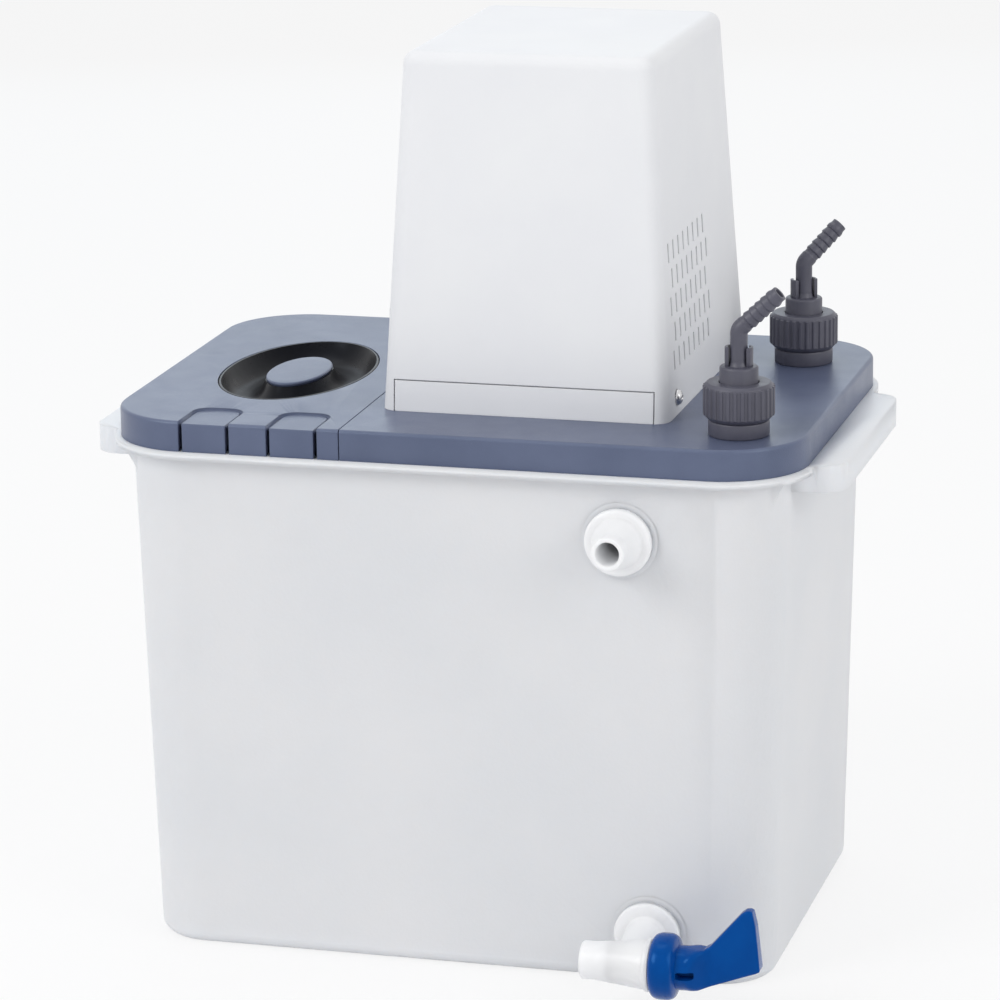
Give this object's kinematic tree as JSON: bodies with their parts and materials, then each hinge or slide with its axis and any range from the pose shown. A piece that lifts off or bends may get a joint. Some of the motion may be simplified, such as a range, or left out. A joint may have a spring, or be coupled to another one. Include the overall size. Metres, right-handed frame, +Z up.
{
  "type": "vacuum aspirator",
  "caption": "Bench water aspirator: moulded tank, two-part lid, tapered motor cover over a pump, two swivelling hose barbs, overflow nozzle and drain cock.",
  "frame": {"origin": "on the bench under the middle of the tank's floor", "axes": "+X to the right, +Y to the back, +Z up"},
  "size_m": [0.346, 0.2688, 0.408],
  "materials": {
    "tank_plastic": "translucent moulded polyethylene, satin",
    "lid_plastic": "fine-textured moulded plastic",
    "cover_plastic": "smooth moulded plastic",
    "port_plastic": "moulded polypropylene, satin",
    "dish_plastic": "polished moulded plastic",
    "white_plastic": "moulded polypropylene",
    "blue_plastic": "moulded polypropylene, shiny",
    "black_plastic": "moulded nylon",
    "black_rubber": "moulded rubber",
    "screw_steel": "plated",
    "machined_steel": "turned",
    "laminated_steel": "stacked sheet, varnished",
    "cast_alloy": "die cast",
    "winding_copper": "varnished copper wire",
    "bush_bronze": "sintered"
  },
  "bodies": {
    "tank": {"tank": "tank_plastic", "overflow_fitting": "white_plastic", "overflow_gasket": "black_rubber", "overflow_back_nut": "white_plastic", "drain_gasket": "black_rubber", "drain_back_nut": "white_plastic", "drain_body": "white_plastic"},
    "pump_unit": {"top_plate": "lid_plastic", "motor_cover": "cover_plastic", "base_tray": "cover_plastic", "cover_screws": "screw_steel", "cord_gland": "black_rubber", "switch_body": "black_plastic", "stator_core": "laminated_steel", "stator_windings": "winding_copper", "lower_end_bell": "cast_alloy", "upper_end_bell": "cast_alloy", "lower_bearing": "screw_steel", "upper_bearing": "screw_steel", "motor_posts": "machined_steel", "motor_bolts": "screw_steel", "pump_column": "port_plastic", "unit_bolts": "screw_steel", "pump_casing": "port_plastic", "shaft_bush": "bush_bronze", "pump_strainer": "port_plastic", "delivery_pipe": "port_plastic", "ejector_front": "port_plastic", "ejector_rear": "port_plastic", "water_jet_front": "white_plastic", "water_jet_rear": "white_plastic", "port_neck_front": "port_plastic", "port_neck_rear": "port_plastic", "port_seal_front": "black_rubber", "port_seal_rear": "black_rubber", "check_spring_front": "machined_steel", "check_spring_rear": "machined_steel"},
    "hatch": {"fill_hatch": "lid_plastic", "grip_dish": "dish_plastic", "grip_cap": "lid_plastic"},
    "drain_cock": {"drain_plug": "blue_plastic", "drain_o_rings": "black_rubber"},
    "rotor": {"motor_shaft": "machined_steel", "rotor_core": "laminated_steel", "cooling_fan": "black_plastic", "pump_impeller": "port_plastic"},
    "rocker": {"power_rocker": "black_plastic"},
    "elbow_front": {"hose_elbow_front": "port_plastic"},
    "nut_front": {"union_nut_front": "port_plastic"},
    "poppet_front": {"check_poppet_front": "white_plastic"},
    "elbow_rear": {"hose_elbow_rear": "port_plastic"},
    "nut_rear": {"union_nut_rear": "port_plastic"},
    "poppet_rear": {"check_poppet_rear": "white_plastic"}
  },
  "joints": [
    {"name": "pump_unit_lift", "type": "slide", "parent": "tank", "child": "pump_unit", "axis": [0, 0, 1], "range_m": [0, 0.24]},
    {"name": "hatch_lift", "type": "slide", "parent": "tank", "child": "hatch", "axis": [0, 0, 1], "range_m": [0, 0.12]},
    {"name": "drain_lever_turn", "type": "hinge", "parent": "tank", "child": "drain_cock", "pos_m": [0.092, -0.14161, 0.024], "axis": [1, 0, 0], "range_deg": [0, 90]},
    {"name": "rotor_spin", "type": "hinge", "parent": "pump_unit", "child": "rotor", "pos_m": [0.0283, 0.01, 0.32], "axis": [0, 0, 1], "continuous": true},
    {"name": "rocker_press", "type": "hinge", "parent": "pump_unit", "child": "rocker", "pos_m": [-0.03364, -0.042, 0.28491], "axis": [0.0563, 0, 0.9984], "range_deg": [0, 16]},
    {"name": "elbow_front_swivel", "type": "hinge", "parent": "pump_unit", "child": "elbow_front", "pos_m": [0.1275, -0.079, 0.27], "axis": [0, 0, 1], "continuous": true},
    {"name": "nut_front_turn", "type": "hinge", "parent": "pump_unit", "child": "nut_front", "pos_m": [0.1275, -0.079, 0.262], "axis": [0, 0, 1], "continuous": true},
    {"name": "check_front_open", "type": "slide", "parent": "pump_unit", "child": "poppet_front", "axis": [0, 0, -1], "range_m": [0, 0.002], "stiffness_N_per_m": 20, "springref_m": -0.002, "deforming": ["check_spring_front"]},
    {"name": "elbow_rear_swivel", "type": "hinge", "parent": "pump_unit", "child": "elbow_rear", "pos_m": [0.1275, 0.061, 0.27], "axis": [0, 0, 1], "continuous": true},
    {"name": "nut_rear_turn", "type": "hinge", "parent": "pump_unit", "child": "nut_rear", "pos_m": [0.1275, 0.061, 0.262], "axis": [0, 0, 1], "continuous": true},
    {"name": "check_rear_open", "type": "slide", "parent": "pump_unit", "child": "poppet_rear", "axis": [0, 0, -1], "range_m": [0, 0.002], "stiffness_N_per_m": 20, "springref_m": -0.002, "deforming": ["check_spring_rear"]}
  ]
}
